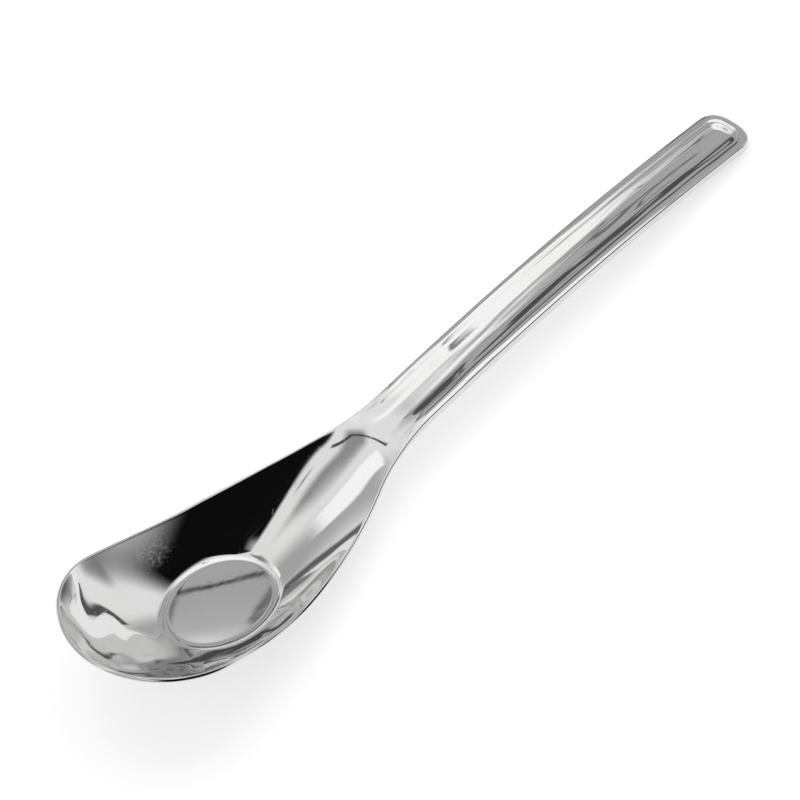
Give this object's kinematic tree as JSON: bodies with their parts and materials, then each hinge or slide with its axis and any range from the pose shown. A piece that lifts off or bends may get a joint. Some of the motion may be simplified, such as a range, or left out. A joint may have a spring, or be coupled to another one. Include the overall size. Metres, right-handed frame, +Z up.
{
  "type": "soup spoon",
  "caption": "Pressed stainless steel soup spoon with an egg-shaped bowl, a flat oval foot and a long handle with a raised border round a sunk groove.",
  "frame": {"origin": "on the table, under the middle of the spoon's length and width, with the spoon lying at rest on the rear of its foot and the end of its handle", "axes": "+X from the bowl to the end of the handle, +Y to the left of someone looking along +X, +Z up"},
  "size_m": [0.1744, 0.037, 0.0235],
  "materials": {
    "polished_steel": "mirror polished"
  },
  "bodies": {
    "root": {"bowl": "polished_steel", "foot": "polished_steel", "neck": "polished_steel", "handle": "polished_steel", "groove": "polished_steel"}
  },
  "joints": []
}
